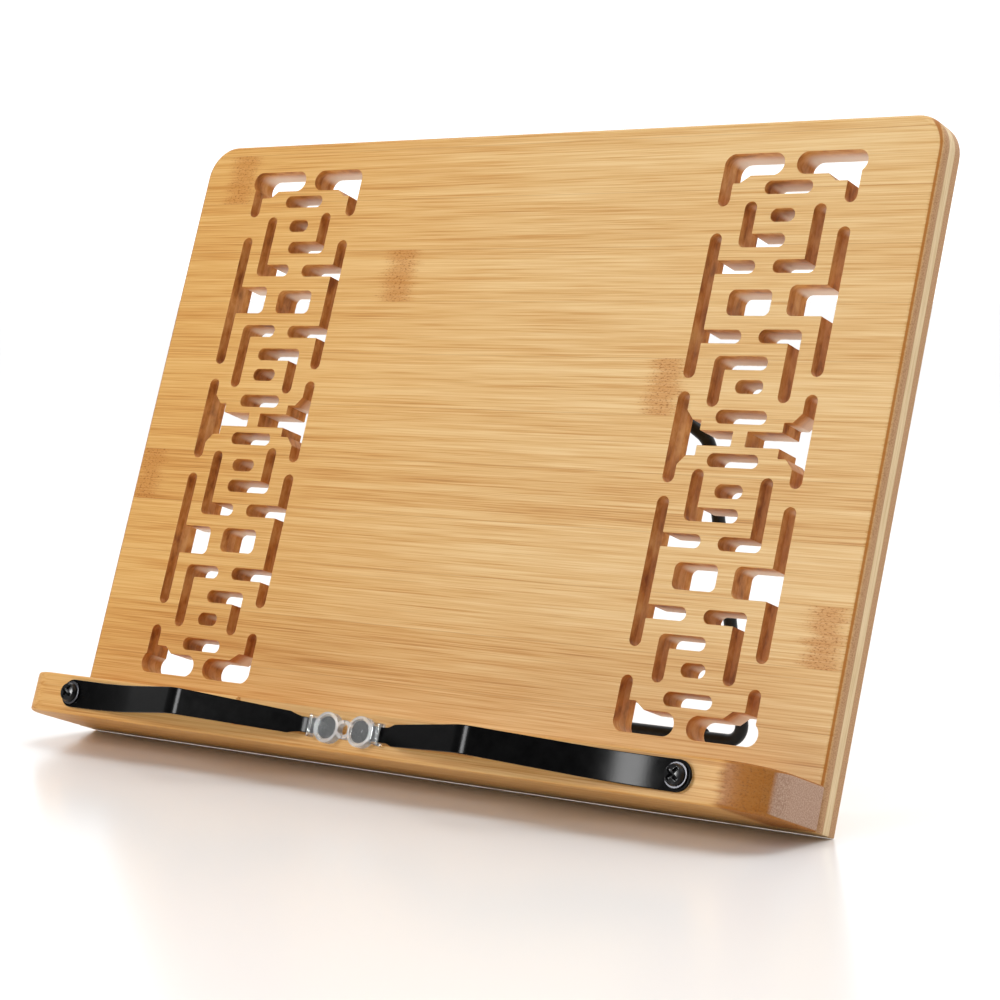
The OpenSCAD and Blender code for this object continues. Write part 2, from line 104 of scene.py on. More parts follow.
def aim(thing, direction):
    thing.rotation_euler = Vector(direction).to_track_quat("-Z", "Y").to_euler()


def add_camera():
    data = bpy.data.cameras.new("camera")
    data.lens, data.sensor_width = CAMERA_LENS, CAMERA_SENSOR
    data.shift_x, data.shift_y = CAMERA_SHIFT
    data.clip_start, data.clip_end = 0.01, 200
    data.dof.use_dof = False
    camera = bpy.data.objects.new("camera", data)
    camera.location = CAMERA_PLACE
    aim(camera, CAMERA_AHEAD)
    bpy.context.collection.objects.link(camera)
    bpy.context.scene.camera = camera


def add_light(name, place, target, size, power, glint):
    data = bpy.data.lights.new(name, "AREA")
    data.shape = "RECTANGLE"
    data.size, data.size_y = size
    data.energy = power
    lamp = bpy.data.objects.new(name, data)
    lamp.location = place
    aim(lamp, Vector(target) - Vector(place))
    lamp.visible_diffuse = not glint
    bpy.context.collection.objects.link(lamp)


def add_world():
    world = bpy.data.worlds.new("studio")
    bpy.context.scene.world = world
    world.use_nodes = True
    tree = world.node_tree
    coords = tree.nodes.new("ShaderNodeTexCoord")
    split = tree.nodes.new("ShaderNodeSeparateXYZ")
    depth = tree.nodes.new("ShaderNodeMapRange")
    depth.interpolation_type = "SMOOTHSTEP"
    depth.inputs["From Min"].default_value, depth.inputs["From Max"].default_value = WORLD_RANGE
    depth.inputs["To Min"].default_value, depth.inputs["To Max"].default_value = WORLD_BRIGHTNESS
    background = tree.nodes["Background"]
    background.inputs["Color"].default_value = (1, 1, 1, 1)
    tree.links.new(coords.outputs["Generated"], split.inputs[0])
    tree.links.new(split.outputs["Y"], depth.inputs["Value"])
    tree.links.new(depth.outputs[0], background.inputs["Strength"])


def add_floor():
    bpy.ops.mesh.primitive_plane_add(size=FLOOR_SIZE)
    floor = bpy.context.object
    floor.name = "floor"
    mat = bpy.data.materials.new("floor_white")
    mat.use_nodes = True
    shader = mat.node_tree.nodes["Principled BSDF"]
    shader.inputs["Base Color"].default_value = FLOOR_WHITE
    shader.inputs["Roughness"].default_value = FLOOR_ROUGH
    floor.data.materials.append(mat)


# ---- Shader building ----

class Shade:
    """A Principled material and short ways to add its nodes."""

    def __init__(self, name):
        self.mat = bpy.data.materials.new(name)
        self.mat.use_nodes = True
        self.tree = self.mat.node_tree
        self.shader = self.tree.nodes["Principled BSDF"]
        self.coords = self.tree.nodes.new("ShaderNodeTexCoord")

    def link(self, socket, value):
        """Joins a socket to another one, or sets it to a number, vector or colour."""
        if isinstance(value, bpy.types.NodeSocket):
            self.tree.links.new(value, socket)
        elif isinstance(value, (tuple, list)) and len(value) == 3 and len(socket.default_value) == 4:
            socket.default_value = (*value, 1)
        else:
            socket.default_value = value

    def node(self, kind, **inputs):
        """First output of a new node, whose inputs are given by name with _ for a space."""
        node = self.tree.nodes.new(kind)
        for key, value in inputs.items():
            self.link(node.inputs[key.replace("_", " ")], value)
        return node.outputs[0]

    def set(self, **values):
        for key, value in values.items():
            self.link(self.shader.inputs[key.replace("_", " ")], value)

    def math(self, op, a, b=0.0):
        node = self.tree.nodes.new("ShaderNodeMath")
        node.operation = op
        self.link(node.inputs[0], a)
        self.link(node.inputs[1], b)
        return node.outputs[0]

    def add(self, a, b): return self.math("ADD", a, b)
    def sub(self, a, b): return self.math("SUBTRACT", a, b)
    def mul(self, a, b): return self.math("MULTIPLY", a, b)
    def div(self, a, b): return self.math("DIVIDE", a, b)
    def absolute(self, a): return self.math("ABSOLUTE", a)

    def step(self, value, low, high):
        """0 below low, 1 above high, smooth between. Falls where low > high."""
        node = self.tree.nodes.new("ShaderNodeMapRange")
        node.interpolation_type = "SMOOTHSTEP"
        falling = low > high
        self.link(node.inputs["Value"], value)
        node.inputs["From Min"].default_value = min(low, high)
        node.inputs["From Max"].default_value = max(low, high)
        node.inputs["To Min"].default_value = 1.0 if falling else 0.0
        node.inputs["To Max"].default_value = 0.0 if falling else 1.0
        return node.outputs[0]

    def step_from(self, middle, value, low, high):
        """step() of the distance between the value and the middle."""
        return self.step(self.absolute(self.sub(value, middle)), low, high)

    def rescale(self, value, low, high):
        """A value of 0 to 1 taken to the range low to high."""
        node = self.tree.nodes.new("ShaderNodeMapRange")
        self.link(node.inputs["Value"], value)
        node.inputs["To Min"].default_value = low
        node.inputs["To Max"].default_value = high
        return node.outputs[0]

    def combine(self, x, y, z):
        return self.node("ShaderNodeCombineXYZ", X=x, Y=y, Z=z)

    def split(self, vector):
        node = self.tree.nodes.new("ShaderNodeSeparateXYZ")
        self.link(node.inputs[0], vector)
        return tuple(node.outputs)

    def noise(self, vector, scale=1.0, detail=3.0, rough=0.5):
        return self.node("ShaderNodeTexNoise", Vector=vector, Scale=scale, Detail=detail, Roughness=rough)

    def grain(self, place, stretch, detail, rough, shift=None, scale=1.0):
        """Noise of a place that is stretched by axis, and moved along x by the shift."""
        x, y, z = (self.mul(part, share) for part, share in zip(place, stretch))
        if shift is not None:
            x = self.add(x, shift)
        return self.noise(self.combine(x, y, z), scale, detail, rough)

    def mix(self, amount, a, b, blend="MIX"):
        node = self.tree.nodes.new("ShaderNodeMix")
        node.data_type, node.blend_type = "RGBA", blend
        self.link(node.inputs[0], amount)
        self.link(node.inputs[6], a)
        self.link(node.inputs[7], b)
        return node.outputs[2]

    def tint(self, amount, colour, by):
        """The colour, multiplied by another one as far as the amount says."""
        return self.mix(amount, colour, self.mix(1.0, colour, by, "MULTIPLY"))

    def ramp(self, value, stops, constant=False):
        node = self.tree.nodes.new("ShaderNodeValToRGB")
        ramp = node.color_ramp
        if constant:
            ramp.interpolation = "CONSTANT"
        while len(ramp.elements) < len(stops):
            ramp.elements.new(0.5)
        for element, (place, colour) in zip(ramp.elements, stops):
            element.position = place
            element.color = (*colour, 1)
        self.link(node.inputs[0], value)
        return node.outputs[0]

    def mapping(self, output, scale=(1, 1, 1), turn=0.0, move=(0, 0, 0)):
        node = self.tree.nodes.new("ShaderNodeMapping")
        node.inputs["Scale"].default_value = scale
        node.inputs["Rotation"].default_value = (turn, 0, 0)
        node.inputs["Location"].default_value = move
        self.link(node.inputs["Vector"], self.coords.outputs[output])
        return node.outputs[0]

    def board_place(self):
        """Where the surface is in the board's frame, as x, y, z in millimetres."""
        move = Matrix.Rotation(LEAN, 3, "X") @ Vector((0, -FRONT_Y, -FOOT_Z))
        return self.split(self.mapping("Object", (1 / MM,) * 3, LEAN, move))

    def board_normal(self):
        """Size of the surface normal's x and y parts, and its z part, in the board's frame."""
        x, y, z = self.split(self.mapping("Normal", turn=LEAN))
        return self.absolute(x), self.absolute(y), z

    def object_place(self):
        """Where the surface is in the object's frame, as a vector in millimetres."""
        return self.mapping("Object", (1 / MM,) * 3)

    def bump(self, height, distance, strength):
        out = self.node("ShaderNodeBump", Height=height, Distance=distance, Strength=strength)
        self.link(self.shader.inputs["Normal"], out)


# ---- Bamboo ----

# Colours from the pale sap side to the dark fibres
PALE, HONEY, TAN = (0.82, 0.57, 0.275), (0.73, 0.45, 0.178), (0.62, 0.325, 0.10)
BROWN, DARK = (0.38, 0.155, 0.042), (0.13, 0.05, 0.018)
PANEL_TONES = [(0.10, BROWN), (0.34, TAN), (0.52, HONEY), (0.74, PALE)]
BAR_TONES = [(0.10, BROWN), (0.34, TAN), (0.52, HONEY), (0.78, PALE)]
# Painted sheen: the stand is darkened to a deeper gold towards the left, so its right side stays paler, as
# where the light's sheen lies
SHEEN_FADE_FROM, SHEEN_FADE_TO = 60, -170
PANEL_PAINTED_SHADE, BAR_PAINTED_SHADE, BAR_SHADE = (0.93, 0.76, 0.46), (0.93, 0.80, 0.55), (0.97, 0.88, 0.78)
KNOT, KNOT_DASH, BAR_KNOT = (0.54, 0.215, 0.04), (0.30, 0.085, 0.012), (0.35, 0.115, 0.014)
# the arris line is partly end grain and partly a painted reflection on the rounded side edges
ARRIS_GRAIN_AND_REFLECTION = (0.42, 0.145, 0.022)

# Colours of the cut edges and of the lattice's walls, which the cutter browned
PLY_END = [(0.3, (0.40, 0.20, 0.095)), (0.5, (0.55, 0.31, 0.155)), (0.7, (0.62, 0.38, 0.21))]
PLY_CORE = [(0.3, (0.66, 0.46, 0.23)), (0.6, (0.86, 0.66, 0.40))]
BAR_END = [(0.34, (0.36, 0.20, 0.13)), (0.5, (0.48, 0.30, 0.21)), (0.68, (0.60, 0.42, 0.31))]
SCORCH = [(0.30, (0.30, 0.09, 0.014)), (0.48, (0.58, 0.225, 0.042)), (0.68, (0.76, 0.39, 0.115))]
# WALL_FLOOR_LIGHT is painted light: the pale of the down-facing walls, lit from the white floor and through the
# openings behind
WALL_CORE, WALL_FLOOR_LIGHT = (0.78, 0.47, 0.20), (0.94, 0.80, 0.66)
DOWEL_END = [(0.3, (0.42, 0.26, 0.13)), (0.7, (0.72, 0.52, 0.30))]

# Width and start of the panel's strips, from the bottom up, and of the bar's, from the front back
STRIP, STRIP_START = 20.45, 10.3
BAR_STRIP, BAR_START = 18.0, -100
# The back ply's strips lie higher, and are numbered apart from the front's
BACK_PLY_Y, BACK_PLY_UP, BACK_PLY_NUMBER = (5.4, 5.6), 7.3, 31
# Where each strip of the panel has its growth node, from the bottom strip up. A node lies within KNOT_SPAN.
KNOT_SPAN = 800
NO_KNOT = -KNOT_SPAN / 2
KNOTS = [NO_KNOT, NO_KNOT, 160, NO_KNOT, -163, NO_KNOT, 78, NO_KNOT, -54, NO_KNOT, -149, NO_KNOT]
BACK_PLY_KNOT_SHIFT = 26
BAR_KNOT_X = 163
# Half widths of a growth node, from where it fades in to where it is full
PANEL_KNOT_HALF, BAR_KNOT_HALF = (10.5, 2.0), (12.0, 7.0)
# Faces of the middle ply, and half widths of the glue between two plies
CORE_FRONT, CORE_BACK, GLUE_HALF = 3.5, 7.5, (0.22, 0.08)
# The outline that the lattice lies within, and where the panel's and the bar's ends start
LATTICE_X, LATTICE_LOW, LATTICE_HIGH = (160, 158), (15, 17), (234, 232)
PANEL_END_X, BAR_END_X = (162, 164), (150, 154)
# Stretch of each layer of fibres by axis, the shift from one strip to the next, and the layers' shares
BROAD, STREAK, FINE = (0.004, 0.05, 0.22), (0.010, 0.30, 0.85), (0.022, 1.4, 2.0)
STRIP_SHIFT = 13.7
BROAD_SHARE, STREAK_SHARE, FINE_SHARE, MIDDLE_TONE = 0.55, 0.62, 0.95, 0.53
# Gloss and depth of relief of all bamboo
WOOD_SPECULAR, WOOD_ROUGH, WOOD_RELIEF = 0.13, (0.42, 0.60), 0.00006


def fibres(s, place, number):
    """Tone of the long grain, 0 dark to 1 pale, then its middle and finest layer. The number is the strip's."""
    shift = s.mul(number, STRIP_SHIFT)
    broad = s.grain(place, BROAD, 2, 0.5, shift)
    streak = s.grain(place, STREAK, 4, 0.62, shift)
    fine = s.grain(place, FINE, 2, 0.6, shift)
    # each noise swings about 0.5, so their sum is taken about the middle tone
    layers = s.add(s.mul(broad, BROAD_SHARE), s.add(s.mul(streak, STREAK_SHARE), s.mul(fine, FINE_SHARE)))
    return s.sub(layers, MIDDLE_TONE), streak, fine


def hair_lines(s, place, through, shift):
    """Dark lines of single long fibres."""
    return s.step(s.grain(place, (0.012, through, 1.9), 3, 0.7, shift), 0.60, 0.72)


def set_wood(s, colour, streak, fine, rough_marks, sunk):
    """The gloss and relief that panel and bar share."""
    s.set(Base_Color=colour, Specular_IOR_Level=WOOD_SPECULAR)
    s.set(Roughness=s.rescale(s.add(s.mul(streak, 0.6), rough_marks), *WOOD_ROUGH))
    s.bump(s.sub(s.add(s.mul(fine, 0.6), s.mul(streak, 0.6)), sunk), WOOD_RELIEF, 0.6)


def panel_knots(s, x, z, strip, behind):
    """The patch of each strip's growth node, and the short dark dashes in it."""
    count = len(KNOTS)
    stops = [(k / count, ((place + KNOT_SPAN / 2) / KNOT_SPAN,) * 3) for k, place in enumerate(KNOTS)]
    wanted = s.ramp(s.div(s.add(strip, 0.5), count), stops, constant=True)
    middle = s.sub(s.mul(wanted, KNOT_SPAN), s.add(KNOT_SPAN / 2, s.mul(behind, BACK_PLY_KNOT_SHIFT)))
    slow = s.noise(s.combine(0, strip, s.mul(z, 0.3)), 1.0, 2)
    quick = s.noise(s.combine(s.mul(x, 0.05), strip, s.mul(z, 2.2)), 1.0, 2)
    wobble = s.add(s.mul(s.sub(slow, 0.5), 12), s.mul(s.sub(quick, 0.5), 16))
    patch = s.step_from(wobble, s.sub(x, middle), *PANEL_KNOT_HALF)
    dashes = s.step(s.noise(s.combine(s.mul(x, 0.55), strip, s.mul(z, 1.25)), 1.5, 3, 0.6), 0.5, 0.68)
    return patch, s.mul(patch, dashes)


def panel_walls(s, place, inner, nz):
    """Colour of the lattice's walls. Those that face down get painted light, paler towards the back, for the
    light from the white floor and through the openings.
    """
    scorch = s.grain(place, (0.12, 0.22, 0.12), 3, 0.6)
    burnt = s.ramp(scorch, SCORCH)
    burnt = s.mix(s.mul(inner, s.rescale(scorch, 0.0, 0.4)), burnt, WALL_CORE)
    # painted light: walls that face down turn pale towards the back
    return s.mix(s.mul(s.step(nz, -0.3, -0.9), s.step(place[1], 1.5, 8)), burnt, WALL_FLOOR_LIGHT)


def board_material():
    s = Shade("bamboo_panel")
    x, y, z = place = s.board_place()
    across_n, through_n, up_n = s.board_normal()
    side_x = s.absolute(x)

    behind = s.step(y, *BACK_PLY_Y)
    lane = s.div(s.sub(s.add(z, s.mul(behind, BACK_PLY_UP)), STRIP_START), STRIP)
    strip, part = s.math("FLOOR", lane), s.math("FRACT", lane)
    number = s.add(strip, s.mul(behind, BACK_PLY_NUMBER))
    per_strip = s.tree.nodes.new("ShaderNodeTexWhiteNoise")
    per_strip.noise_dimensions = "1D"
    s.link(per_strip.inputs["W"], number)
    tone, streak, fine = fibres(s, place, number)
    tone = s.add(tone, s.rescale(per_strip.outputs[0], -0.06, 0.06))

    face = s.ramp(tone, PANEL_TONES)
    # painted sheen: darker and more golden towards the left
    face = s.tint(s.mul(s.step(x, SHEEN_FADE_FROM, SHEEN_FADE_TO), 0.80), face, PANEL_PAINTED_SHADE)
    face = s.mix(s.mul(hair_lines(s, place, 0.3, 70), 0.28), face, BROWN)
    seam = s.step_from(0.5, part, 0.490, 0.498)
    face = s.mix(s.mul(seam, 0.30), face, BROWN)
    patch, dashes = panel_knots(s, x, z, strip, behind)
    face = s.mix(s.mul(patch, 0.56), face, KNOT)
    face = s.mix(s.mul(dashes, 0.85), face, KNOT_DASH)

    # the plies show on the edges, with a line of glue between two of them
    inner = s.sub(s.step(y, 3.45, 3.6), s.step(y, 7.4, 7.55))
    glue = s.math("MAXIMUM", s.step_from(CORE_FRONT, y, *GLUE_HALF), s.step_from(CORE_BACK, y, *GLUE_HALF))
    ply_end = s.ramp(s.grain(place, (1, 2.2, 2.2), 3, 0.6), PLY_END)
    core = s.ramp(s.grain(place, (1.2, 2.4, 0.05), 3, 0.6), PLY_CORE)
    side_edge = s.mix(s.mul(glue, 0.45), s.mix(inner, ply_end, core), BROWN)
    top_edge = s.mix(s.mul(glue, 0.5), s.mix(inner, face, s.mix(0.5, core, ply_end)), BROWN)
    on_side, on_top = s.step(across_n, 0.55, 0.85), s.step(s.absolute(up_n), 0.55, 0.85)
    colour = s.mix(on_side, s.mix(on_top, face, top_edge), side_edge)

    # a dark line along the rounded side arrises, partly end grain and partly a painted reflection in the
    # round-over
    arris = s.mul(s.step(across_n, 0.34, 0.44), s.step(across_n, 0.72, 0.60))
    colour = s.mix(s.mul(arris, s.mul(s.step(side_x, *PANEL_END_X), 0.90)), colour, ARRIS_GRAIN_AND_REFLECTION)

    # the lattice's walls are the steep faces that lie inside the board's outline
    within = s.mul(s.step(side_x, *LATTICE_X), s.mul(s.step(z, *LATTICE_LOW), s.step(z, *LATTICE_HIGH)))
    wall = s.mul(s.step(through_n, 0.75, 0.35), within)
    colour = s.mix(s.mul(wall, 0.92), colour, panel_walls(s, place, inner, up_n))
    set_wood(s, colour, streak, fine, dashes, s.add(s.mul(dashes, 0.8), s.mul(seam, 0.8)))
    return s.mat


def ledge_material():
    s = Shade("bamboo_bar")
    x, y, z = place = s.board_place()
    across_n = s.board_normal()[0]

    lane = s.div(s.sub(y, BAR_START), BAR_STRIP)
    strip, part = s.math("FLOOR", lane), s.math("FRACT", lane)
    tone, streak, fine = fibres(s, place, strip)
    face = s.mix(1.0, s.ramp(tone, BAR_TONES), BAR_SHADE, "MULTIPLY")
    # painted sheen: darker and more golden towards the left, less strongly than on the panel
    face = s.tint(s.mul(s.step(x, SHEEN_FADE_FROM, SHEEN_FADE_TO), 0.5), face, BAR_PAINTED_SHADE)
    face = s.mix(s.mul(hair_lines(s, place, 1.2, 20), 0.3), face, BROWN)
    face = s.mix(s.mul(s.step_from(0.5, part, 0.488, 0.497), 0.3), face, BROWN)

    # a growth node beside the right end, its border ragged
    ragged = s.mul(s.sub(s.grain(place, (0, 0.9, 0.9), 2, 0.5), 0.5), 6)
    patch = s.step_from(ragged, s.sub(x, BAR_KNOT_X), *BAR_KNOT_HALF)
    specks = s.mul(patch, s.step(s.grain(place, (0.7, 1.5, 1.5), 3, 0.6, scale=1.3), 0.50, 0.70))
    face = s.mix(s.mul(patch, 0.86), face, BAR_KNOT)
    face = s.mix(s.mul(specks, 0.5), face, DARK)

    # end grain on the rounded ends
    at_end = s.mul(s.step(across_n, 0.82, 0.90), s.step(s.absolute(x), *BAR_END_X))
    end_grain = s.ramp(s.grain(place, (0.6, 2.0, 2.0), 3, 0.65), BAR_END)
    set_wood(s, s.mix(at_end, face, end_grain), streak, fine, specks, s.mul(specks, 0.6))
    return s.mat


def dowel_material():
    s = Shade("dowel_end_grain")
    dots = s.grain(s.board_place(), (2.5, 0.2, 2.5), 3, 0.6)
    s.set(Base_Color=s.ramp(dots, DOWEL_END), Roughness=0.6)
    s.bump(dots, 0.0001, 0.5)
    return s.mat


# ---- Metal and plastic ----

def metal_material(name, colour, metallic, rough, specular=0.5, bump=0.00002):
    """Painted, plated or bare metal with a slight mottle in its gloss and fine orange peel."""
    s = Shade(name)
    place = s.object_place()
    cloud = s.noise(place, 0.25, 4, 0.6)
    peel = s.noise(place, 2.2, 2, 0.5)
    lighter = tuple(c * 1.35 + 0.002 for c in colour)
    s.set(Base_Color=s.ramp(cloud, [(0.35, colour), (0.75, lighter)]))
    s.set(Metallic=metallic, Specular_IOR_Level=specular)
    s.set(Roughness=s.rescale(s.add(s.mul(cloud, 0.7), s.mul(peel, 0.3)), rough * 0.75, rough * 1.3))
    s.bump(peel, bump, 0.5)
    return s.mat


def plastic_material(name, colour, rough):
    """Dull plastic or rubber with fine pores."""
    s = Shade(name)
    place = s.object_place()
    cloud = s.noise(place, 0.4, 3, 0.5)
    pores = s.noise(place, 3.0, 2, 0.5)
    lighter = tuple(c * 1.25 + 0.01 for c in colour)
    s.set(Base_Color=s.ramp(cloud, [(0.3, colour), (0.8, lighter)]))
    s.set(Roughness=s.rescale(pores, rough * 0.85, rough * 1.15))
    s.bump(pores, 0.00003, 0.6)
    return s.mat


def clear_material(name, clear):
    """Clear soft plastic, uneven as moulded."""
    s = Shade(name)
    swirl = s.noise(s.object_place(), 0.35, 3, 0.5)
    s.set(Base_Color=s.ramp(swirl, [(0.3, (0.93, 0.96, 0.97)), (0.8, (0.99, 1, 1))]))
    s.set(Roughness=s.rescale(swirl, 0.05, 0.12), IOR=1.49, Transmission_Weight=clear)
    s.bump(swirl, 0.0004, 0.8)
    return s.mat


# ---- Mesh building ----

# Vertices nearer than WELD metres are one, faces bent less than FLAT are one, edges over SHARP get rounded
WELD, FLAT, SHARP = 2e-6, math.radians(0.4), math.radians(38)
# Edges of a softened CAD shape that bend less than this many degrees are shaded smooth
SMOOTH_UNDER = 35


def smooth_by_angle(bm, degrees):
    limit = math.radians(degrees)
    for face in bm.faces:
        face.smooth = True
    for edge in bm.edges:
        edge.smooth = len(edge.link_faces) == 2 and edge.calc_face_angle(0) < limit


def add_piece(name, bm, body, material, smooth, replaces):
    """Adds a mesh that replaces the named CAD nodes and rides the body."""
    bmesh.ops.recalc_face_normals(bm, faces=bm.faces)
    smooth_by_angle(bm, smooth)
    mesh = bpy.data.meshes.new(name)
    bm.to_mesh(mesh)
    bm.free()
    mesh.materials.append(material)
    piece = bpy.data.objects.new(name, mesh)
    bpy.context.collection.objects.link(piece)
    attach(piece, body)
    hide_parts(*replaces)
    normals = piece.modifiers.new("even_normals", "WEIGHTED_NORMAL")
    normals.keep_sharp = True
    return piece


def modified(mesh, add_modifiers):
    """The mesh as a bmesh, after the modifiers that the given function adds."""
    work = bpy.data.objects.new("work", mesh)
    bpy.context.collection.objects.link(work)
    add_modifiers(work.modifiers)
    result = bpy.data.meshes.new_from_object(work.evaluated_get(bpy.context.evaluated_depsgraph_get()))
    bpy.data.objects.remove(work)
    bm = bmesh.new()
    bm.from_mesh(result)
    return bm


def soften(name, node, body, material, width, segments=2):
    """The CAD node's own shape with its sharp edges rounded by width millimetres."""
    mesh = NODES[node].data.copy()
    bm = bmesh.new()
    bm.from_mesh(mesh)
    bmesh.ops.remove_doubles(bm, verts=bm.verts, dist=WELD)
    bmesh.ops.dissolve_limit(bm, angle_limit=FLAT, verts=bm.verts, edges=bm.edges)
    bm.to_mesh(mesh)
    bm.free()

    def add_bevel(modifiers):
        bevel = modifiers.new("edges", "BEVEL")
        bevel.width, bevel.segments = width * MM, segments
        bevel.limit_method, bevel.angle_limit = "ANGLE", SHARP
        bevel.use_clamp_overlap = False
        bevel.miter_outer = "MITER_ARC"

    add_piece(name, modified(mesh, add_bevel), body, material, SMOOTH_UNDER, (node,))


def side_name(side):
    return "right" if side > 0 else "left"


# ---- Clear caps ----

CAP_GRID, CAP_RELAX, CAP_ROUNDS = 0.16, 0.5, 10
# The disc's front lies beyond DISC_Y and is sunk by DISH within DISH_R, over DISH_RIM
DISC_Y, DISH, DISH_R, DISH_RIM = -LEDGE_D - 2.7, 0.5, 4.5, 0.7
# Radii between which the cap's rim is thick, and how far its nose reaches from the middle
RIM_FROM, RIM_TO, NOSE_X = 4.35, 5.7, 2.6


def build_cap(side):
    """The CAD cap as a soft moulding: re-meshed finely and relaxed, so that it rounds, its disc dished."""
    def add_moulding(modifiers):
        remesh = modifiers.new("grid", "REMESH")
        remesh.mode, remesh.voxel_size = "VOXEL", CAP_GRID * MM
        relax = modifiers.new("relax", "SMOOTH")
        relax.factor, relax.iterations = CAP_RELAX, CAP_ROUNDS

    home = PLACE.inverted()

    def from_tip(spot):
        return math.hypot(spot.x - side * TIP_X, spot.z - PIVOT_Z)

    name = side_name(side)
    node = name + "_clip_cap"
    bm = modified(NODES[node].data.copy(), add_moulding)
    for vert in bm.verts:
        spot = home @ vert.co
        if spot.y < DISC_Y:
            spot.y += DISH * smoothstep((DISH_R - from_tip(spot)) / DISH_RIM)
            vert.co = PLACE @ spot
    # painted light: the thick rim and nose get a milkier plastic, so they look whiter than the thin disc,
    # standing in for the light that gathers in them
    for face in bm.faces:
        spot = home @ face.calc_center_median()
        face.material_index = int(RIM_FROM < from_tip(spot) < RIM_TO or abs(spot.x) < NOSE_X)
    cap = add_piece(name + "_cap", bm, name + "_clip", CLEAR, 80, (node,))
    cap.data.materials.append(CLEAR_LIT_RIM)


# ---- Clip blades ----

# From its pivot the blade lies flat, curves out, rises, bends back and falls to lie flat again at its tip
CURVE_START, CURVE_R, RISE, RISE_L, BEND_R = 5.0, 90.0, math.radians(22), 32.5, 9.0
LAY_R, LAY_X = 12.0, 15.5
CURVE_DX, CURVE_DY = CURVE_R * math.sin(RISE), CURVE_R * (1 - math.cos(RISE))
PEAK_X = PIVOT_X - CURVE_START - CURVE_DX - RISE_L * math.cos(RISE) - BEND_R * math.sin(RISE)
PEAK = BLADE_MID + CURVE_DY + RISE_L * math.sin(RISE) + BEND_R * (1 - math.cos(RISE))

# Half widths at the peak, at the shoulders and in the neck, and where the shoulders start and end
PEAK_HALF, SHOULDER_HALF, NECK_HALF, LEAST_HALF = 4.7, 3.8, 2.7, 0.2
SHOULDER_START, SHOULDER_END = 23.5, 20.8
EDGE_SOFT = 0.3


def fall_angle():
    """Slope of the straight run that leaves the bend's arc and meets the arc at the tip."""
    dx, dy, r = PEAK_X - LAY_X, PEAK - TIP_MID, BEND_R + LAY_R
    slope = dx * dx + (dy - r) ** 2
    return math.atan2(dy - r, dx) + math.acos(math.sqrt(slope - r * r) / math.sqrt(slope))


def blade_line():
    """Middle line of the right blade from pivot end to tip, as (x, height before the board)."""
    fall = fall_angle()
    points = [(x, BLADE_MID) for x in np.linspace(PIVOT_X + PIVOT_R, PIVOT_X - CURVE_START, 22)]
    for a in np.linspace(0, RISE, 16)[1:]:
        points.append((PIVOT_X - CURVE_START - CURVE_R * math.sin(a),
                       BLADE_MID + CURVE_R * (1 - math.cos(a))))
    for a in np.linspace(RISE, -fall, 22):
        points.append((PEAK_X + BEND_R * math.sin(a), PEAK - BEND_R * (1 - math.cos(a))))
    start = points[-1]
    end = (LAY_X + LAY_R * math.sin(fall), TIP_MID + LAY_R * (1 - math.cos(fall)))
    for t in np.linspace(0, 1, 22)[1:]:
        points.append((start[0] + t * (end[0] - start[0]), start[1] + t * (end[1] - start[1])))
    for a in np.linspace(fall, 0, 9)[1:]:
        points.append((LAY_X + LAY_R * math.sin(a), TIP_MID + LAY_R * (1 - math.cos(a))))
    for x in np.linspace(LAY_X, TIP_X - TIP_R, 22)[1:]:
        points.append((x, TIP_MID))
    return points


def round_half(x, middle, radius):
    """Half width of a round end at x."""
    return math.sqrt(max(LEAST_HALF ** 2, radius ** 2 - (x - middle) ** 2))


def blade_half_width(x):
    if x > PIVOT_X:
        return round_half(x, PIVOT_X, PIVOT_R)
    if x > PEAK_X:
        return PEAK_HALF + (PIVOT_R - PEAK_HALF) * (x - PEAK_X) / (PIVOT_X - PEAK_X)
    if x > SHOULDER_START:
        widening = (PEAK_HALF - SHOULDER_HALF) / (PEAK_X - SHOULDER_START)
        return SHOULDER_HALF + widening * (x - SHOULDER_START)
    share = smoothstep((x - SHOULDER_END) / (SHOULDER_START - SHOULDER_END))
    neck = NECK_HALF + (SHOULDER_HALF - NECK_HALF) * share
    tip = round_half(x, TIP_X, TIP_R)
    return max(tip, neck) if x > TIP_X else tip


def edge_ring(centre, tangent, half, thick):
    """Flat oval section: half wide each way in z, thick along the line's normal, edges rounded."""
    soft = min(EDGE_SOFT, half * 0.9, thick * 0.45)
    normal = (-tangent[1], tangent[0])
    ring = []
    for quarter, (u, v) in enumerate([(1, 1), (-1, 1), (-1, -1), (1, -1)]):
        for k in range(4):
            a = math.radians(90 * quarter + 30 * k)
            across = u * (half - soft) + soft * math.cos(a)
            out = v * (thick / 2 - soft) + soft * math.sin(a)
            ring.append((centre[0] + out * normal[0], -(centre[1] + out * normal[1]), PIVOT_Z + across))
    return ring


def rings_mesh(rings):
    """A closed bmesh from rings of points in the board's frame, each ring joined to the next."""
    bm = bmesh.new()
    rows = [[bm.verts.new(p) for p in placed(ring)] for ring in rings]
    count = len(rows[0])
    for a, b in zip(rows, rows[1:]):
        for i in range(count):
            bm.faces.new((a[i], a[(i + 1) % count], b[(i + 1) % count], b[i]))
    bm.faces.new(rows[0])
    bm.faces.new(rows[-1])
    return bm


def build_blade(side):
    points = blade_line()
    rings = []
    for i, point in enumerate(points):
        before, after = points[max(0, i - 1)], points[min(len(points) - 1, i + 1)]
        run = Vector((after[0] - before[0], after[1] - before[1])).normalized()
        ring = edge_ring(point, run, blade_half_width(point[0]), BLADE_T)
        rings.append([(side * x, y, z) for x, y, z in ring])
    name = side_name(side)
    add_piece(name + "_blade", rings_mesh(rings), name + "_clip", BLACK_SPRING, 40,
              (name + "_clip_blade",))


# ---- Screws ----

